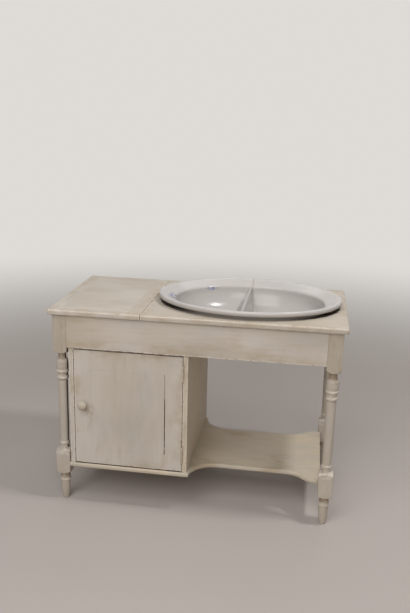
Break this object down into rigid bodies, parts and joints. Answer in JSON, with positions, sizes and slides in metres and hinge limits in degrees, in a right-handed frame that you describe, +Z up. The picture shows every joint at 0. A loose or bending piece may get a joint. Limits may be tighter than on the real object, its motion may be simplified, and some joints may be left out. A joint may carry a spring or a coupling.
{
  "type": "washstand",
  "caption": "Painted wooden washstand with a hinged lid over a well, a divided oval basin let into the top, a cupboard with a door, an open shelf and turned legs.",
  "frame": {"origin": "on the floor under the middle of the top", "axes": "+X to the right along the front, +Y to the back, +Z up"},
  "size_m": [1, 0.51, 0.7485],
  "materials": {
    "painted_pine": "matt chalk paint, worn at the edges",
    "bare_pine": "unpainted, darkened by age",
    "painted_iron": "painted over with the wood",
    "iron": "dull, lightly rusted",
    "porcelain": "clear glaze over white"
  },
  "bodies": {
    "stand": {"front_left_leg": "painted_pine", "front_right_leg": "painted_pine", "back_left_leg": "painted_pine", "back_right_leg": "painted_pine", "front_apron": "painted_pine", "back_apron": "painted_pine", "left_apron": "painted_pine", "right_apron": "painted_pine", "fixed_top": "painted_pine", "top_glue_blocks": "bare_pine", "bottom_board": "painted_pine", "cupboard_left_side": "painted_pine", "cupboard_right_side": "painted_pine", "cupboard_ceiling": "bare_pine", "well_divider": "bare_pine", "back_board_lower": "painted_pine", "back_board_middle": "painted_pine", "back_board_upper": "painted_pine", "back_board_nails": "iron", "door_stop": "bare_pine", "door_hinge_fixed_leaves": "painted_iron", "door_hinge_fixed_screws": "iron", "door_hinge_pins": "iron", "lid_hinge_fixed_leaves": "painted_iron", "lid_hinge_fixed_screws": "iron", "lid_hinge_pins": "iron"},
    "door": {"door_lock_stile": "painted_pine", "door_hinge_stile": "painted_pine", "door_top_rail": "painted_pine", "door_bottom_rail": "painted_pine", "door_panel": "painted_pine", "door_hinge_moving_leaves": "painted_iron", "door_hinge_moving_screws": "iron"},
    "knob": {"door_knob": "painted_pine", "knob_spindle": "iron", "turn_button": "bare_pine"},
    "lid": {"lid_field": "painted_pine", "lid_left_cleat": "painted_pine", "lid_right_cleat": "painted_pine", "lid_hinge_moving_leaves": "painted_iron", "lid_hinge_moving_screws": "iron"},
    "basin": {"wash_basin": "porcelain"}
  },
  "joints": [
    {"name": "door_hinge", "type": "hinge", "parent": "stand", "child": "door", "pos_m": [-0.035, -0.236, 0.367], "axis": [0, 0, 1], "range_deg": [0, 175]},
    {"name": "knob_turn", "type": "hinge", "parent": "door", "child": "knob", "pos_m": [-0.386, -0.232, 0.374], "axis": [0, 1, 0], "range_deg": [0, 90]},
    {"name": "lid_hinge", "type": "hinge", "parent": "stand", "child": "lid", "pos_m": [-0.34, 0.2444, 0.69915], "axis": [-1, 0, 0], "range_deg": [0, 105]},
    {"name": "basin_lift", "type": "slide", "parent": "stand", "child": "basin", "axis": [0, 0, 1], "range_m": [0, 0.16]}
  ]
}
